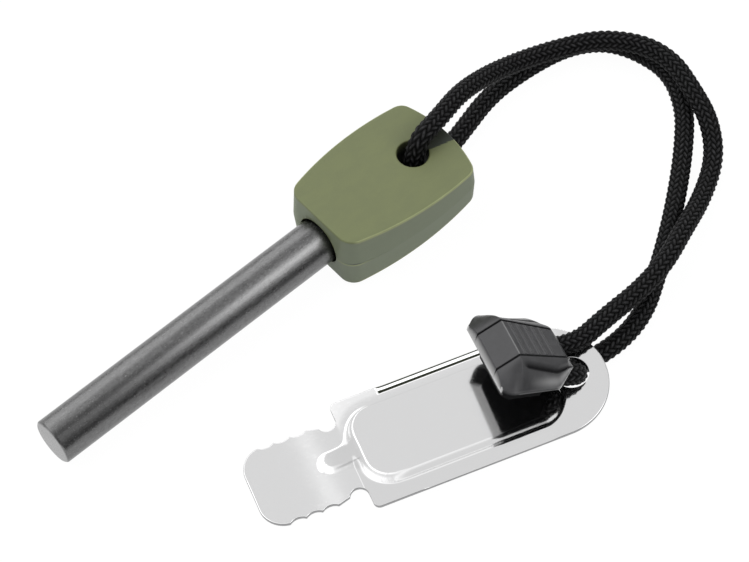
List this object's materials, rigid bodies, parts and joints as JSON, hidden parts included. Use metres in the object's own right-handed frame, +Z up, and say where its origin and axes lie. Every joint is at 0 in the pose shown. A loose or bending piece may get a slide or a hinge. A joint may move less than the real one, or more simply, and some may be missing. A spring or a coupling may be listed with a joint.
{
  "type": "ferro rod fire starter",
  "caption": "Round ferrocerium rod in a two-shell moulded handle, with a pressed steel striker on a braided cord loop whose ends lie in a clip.",
  "frame": {"origin": "on the floor, under the middle of the box of the rod, the handle and the striker; the cord and its clip lie outside that box", "axes": "+X along the rod from its tip towards the handle, +Y from the striker towards the rod, +Z up"},
  "size_m": [0.1526, 0.0754, 0.0221],
  "materials": {
    "rod": "dark grey ferrocerium with a thin protective coat, faint lengthwise streaks",
    "handle": "olive green, fine moulded texture",
    "striker": "polished stainless sheet",
    "cord": "black braided polyester",
    "clip": "black, satin"
  },
  "bodies": {
    "handle": {"ferro_rod": "rod", "handle_upper_shell": "handle", "handle_lower_shell": "handle"},
    "lanyard": {"lanyard_cord": "cord", "clip_upper_shell": "clip", "clip_lower_shell": "clip"},
    "striker": {"striker_plate": "striker"}
  },
  "joints": [
    {"name": "lanyard_swing", "type": "hinge", "parent": "handle", "child": "lanyard", "pos_m": [0.04112, 0.02568, 0.0095], "axis": [0, 0, 1], "range_deg": [-15, 75]},
    {"name": "striker_swing", "type": "hinge", "parent": "lanyard", "child": "striker", "pos_m": [0.03421, -0.02735, 0.00454], "axis": [0, 0, 1], "range_deg": [-15, 115]}
  ]
}
